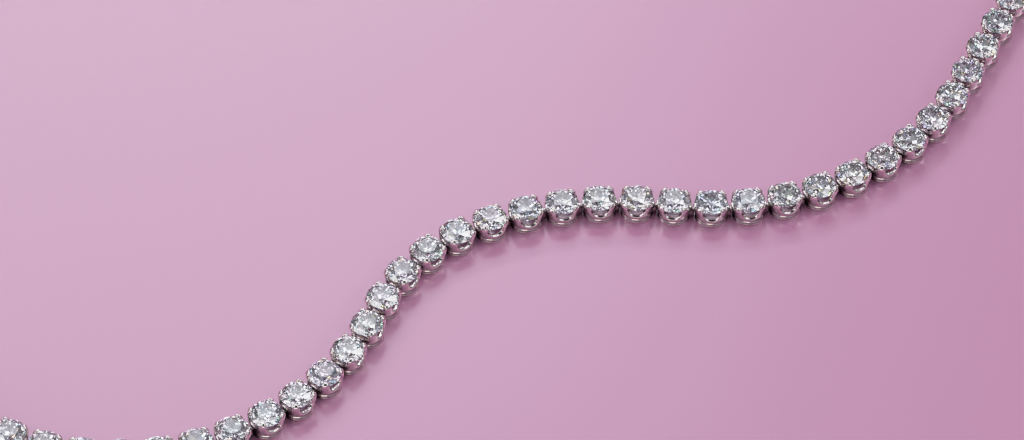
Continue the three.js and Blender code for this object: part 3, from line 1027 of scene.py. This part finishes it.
ROOM_TINT = (0.93, 0.93, 1.0, 1)
ROOM_BRIGHTNESS = 0.34          # overhead
HORIZON_RISE = (0.02, 0.35)     # height of a direction, over which the room brightens
DARK_ELEVATION = 50             # the middle of the dark patch at the front
DARK_EDGE = 30                  # the angle off it at which the dark sets in
DARK_HEART = 12                 # and at which it is fully dark
DARK_BRIGHTNESS = 0.02

WHITE = (0.98, 0.965, 1.0)
BLUISH = (0.90, 0.94, 1.0)
WARM = (1.0, 0.93, 0.86)
PANE_SHARE = 0.80               # of a pane's step that is lit, the rest being bars
PANELS = [      # name, azimuth, elevation, width, height, panes across and up, brightness, tint
    ("top_right", 26, 62, 0.36, 0.34, 2, 2, 6.6, WHITE),
    ("top_back", 88, 74, 0.32, 0.28, 2, 2, 4.8, WHITE),
    ("back_high", 107, 50, 0.64, 0.26, 1, 1, 1.35, BLUISH),
    ("back_window", 97, 35, 0.62, 0.19, 4, 1, 7.6, WHITE),
    ("right_strip", 17, 34, 0.24, 0.22, 2, 1, 4.7, WHITE),
    ("left_tall", 193, 26, 0.34, 0.55, 1, 3, 2.8, WHITE),
    ("left_top", 150, 60, 0.50, 0.40, 2, 2, 1.3, WHITE),
    ("front_left", 224, 45, 0.46, 0.34, 2, 2, 2.0, WHITE),
    ("front_right", 316, 45, 0.46, 0.34, 2, 2, 2.0, WHITE),
    ("front_low", 262, 16, 0.80, 0.12, 1, 1, 2.2, WARM),
]

HIGHLIGHT_ROOM = 3.0            # the brightness that still shows as less than white
TONES = [       # brightness as lit and as shown: even up to the middle tones, then a soft shoulder
    (0.30, 0.30),
    (0.60, 0.59),
    (0.80, 0.73),
    (1.20, 0.86),
    (1.80, 0.94),
]
STONE_BOUNCES = 24              # so that light finds its way out of the stones
METAL_BOUNCES = 12


def lay_surface():
    """The sheet, a plain square under the necklace."""
    mesh = bpy.data.meshes.new("pink_sheet")
    corners = [(-1, -1), (1, -1), (1, 1), (-1, 1)]
    points = [(x * SHEET_REACH, y * SHEET_REACH, SHEET_LEVEL) for x, y in corners]
    mesh.from_pydata(points, [], [(0, 1, 2, 3)])
    mesh.materials.append(surface_material())
    sheet = bpy.data.objects.new("pink_sheet", mesh)
    bpy.context.scene.collection.objects.link(sheet)


def point_at(thing, location, target):
    """Puts a camera or light at a location, with its -Z axis towards the target and its Y axis up."""
    away = Vector(location) - Vector(target)
    thing.location = location
    thing.rotation_euler = away.to_track_quat("Z", "Y").to_euler()


def softbox(name, azimuth, elevation, width, height, across, up, brightness, tint):
    """A window of even panes, across by up of them with bars between, that faces the necklace from a metre
    off. Azimuth runs from +X towards +Y. A pane's middle is (i - (across - 1) / 2) steps to the side of the
    window's and (j - (up - 1) / 2) steps above it, and its power is its brightness times pi times its area.
    """
    light = bpy.data.lights.new(name, "AREA")
    light.shape = "RECTANGLE"
    light.size = width / across * PANE_SHARE
    light.size_y = height / up * PANE_SHARE
    light.energy = brightness * math.pi * light.size * light.size_y
    light.color = tint
    a, e = math.radians(azimuth), math.radians(elevation)
    outwards = np.array([math.cos(e) * math.cos(a), math.cos(e) * math.sin(a), math.sin(e)])
    sideways = np.array([-math.sin(a), math.cos(a), 0.0])
    upwards = np.cross(outwards, sideways)
    for i in range(across):
        for j in range(up):
            pane = bpy.data.objects.new(f"{name}_{i}_{j}", light)
            bpy.context.scene.collection.objects.link(pane)
            middle = (outwards + sideways * (i - (across - 1) / 2) * width / across
                      + upwards * (j - (up - 1) / 2) * height / up)
            point_at(pane, VIEW_TARGET + middle, VIEW_TARGET)
            pane.visible_camera = False


def light_room():
    """The room round the panels: even and pale overhead, dark at the horizon and in a round patch at the
    front. Its brightness is a smooth step of a direction's height times one of the cosine of its angle off
    the patch's middle. In place of the room itself the picture shows the sheet's pale pink.
    """
    world = bpy.data.worlds.new("pale_room")
    world.use_nodes = True
    nodes, links = world.node_tree.nodes, world.node_tree.links
    background = nodes["Background"]
    coordinates = nodes.new("ShaderNodeTexCoord")
    parts = nodes.new("ShaderNodeSeparateXYZ")
    links.new(coordinates.outputs["Generated"], parts.inputs["Vector"])
    off_patch = nodes.new("ShaderNodeVectorMath")
    off_patch.operation = "DOT_PRODUCT"
    e = math.radians(DARK_ELEVATION)
    off_patch.inputs[1].default_value = (0, -math.cos(e), math.sin(e))
    links.new(coordinates.outputs["Generated"], off_patch.inputs[0])
    height = smooth_step(nodes, links, parts.outputs["Z"], *HORIZON_RISE, 0.0, 1.0)
    dark = smooth_step(nodes, links, off_patch.outputs["Value"], math.cos(math.radians(DARK_EDGE)),
                       math.cos(math.radians(DARK_HEART)), ROOM_BRIGHTNESS, DARK_BRIGHTNESS)
    product = nodes.new("ShaderNodeMath")
    product.operation = "MULTIPLY"
    links.new(height, product.inputs[0])
    links.new(dark, product.inputs[1])
    links.new(product.outputs["Value"], background.inputs["Strength"])
    background.inputs["Color"].default_value = ROOM_TINT

    backdrop = nodes.new("ShaderNodeBackground")
    backdrop.inputs["Color"].default_value = PALE_PINK
    seen = nodes.new("ShaderNodeLightPath")
    either = nodes.new("ShaderNodeMixShader")
    links.new(seen.outputs["Is Camera Ray"], either.inputs["Fac"])
    links.new(background.outputs["Background"], either.inputs[1])
    links.new(backdrop.outputs["Background"], either.inputs[2])
    links.new(either.outputs["Shader"], nodes["World Output"].inputs["Surface"])
    bpy.context.scene.world = world


def place_camera():
    """The camera, in front of the target and above it, looking straight at it."""
    camera = bpy.data.cameras.new("view")
    camera.lens = VIEW_LENS
    camera.sensor_width = SENSOR_WIDTH
    camera.clip_start, camera.clip_end = VIEW_DEPTH
    holder = bpy.data.objects.new("view", camera)
    bpy.context.scene.collection.objects.link(holder)
    e = math.radians(VIEW_ELEVATION)
    location = VIEW_TARGET + np.array([0.0, -math.cos(e), math.sin(e)]) * VIEW_DISTANCE
    point_at(holder, location, VIEW_TARGET)
    bpy.context.scene.camera = holder


def soften_highlights(view):
    """Gives the brightest tones a soft shoulder, so that bright facets keep their differences."""
    view.use_curve_mapping = True
    mapping = view.curve_mapping
    mapping.white_level = (HIGHLIGHT_ROOM,) * 3
    points = mapping.curves[3].points
    for lit, shown in TONES:
        points.new(lit / HIGHLIGHT_ROOM, shown)
    mapping.update()


lay_surface()
for panel in PANELS:
    softbox(*panel)
light_room()
place_camera()

scene = bpy.context.scene
scene.view_settings.view_transform = "Standard"
soften_highlights(scene.view_settings)
scene.cycles.max_bounces = STONE_BOUNCES
scene.cycles.transmission_bounces = STONE_BOUNCES
scene.cycles.glossy_bounces = METAL_BOUNCES
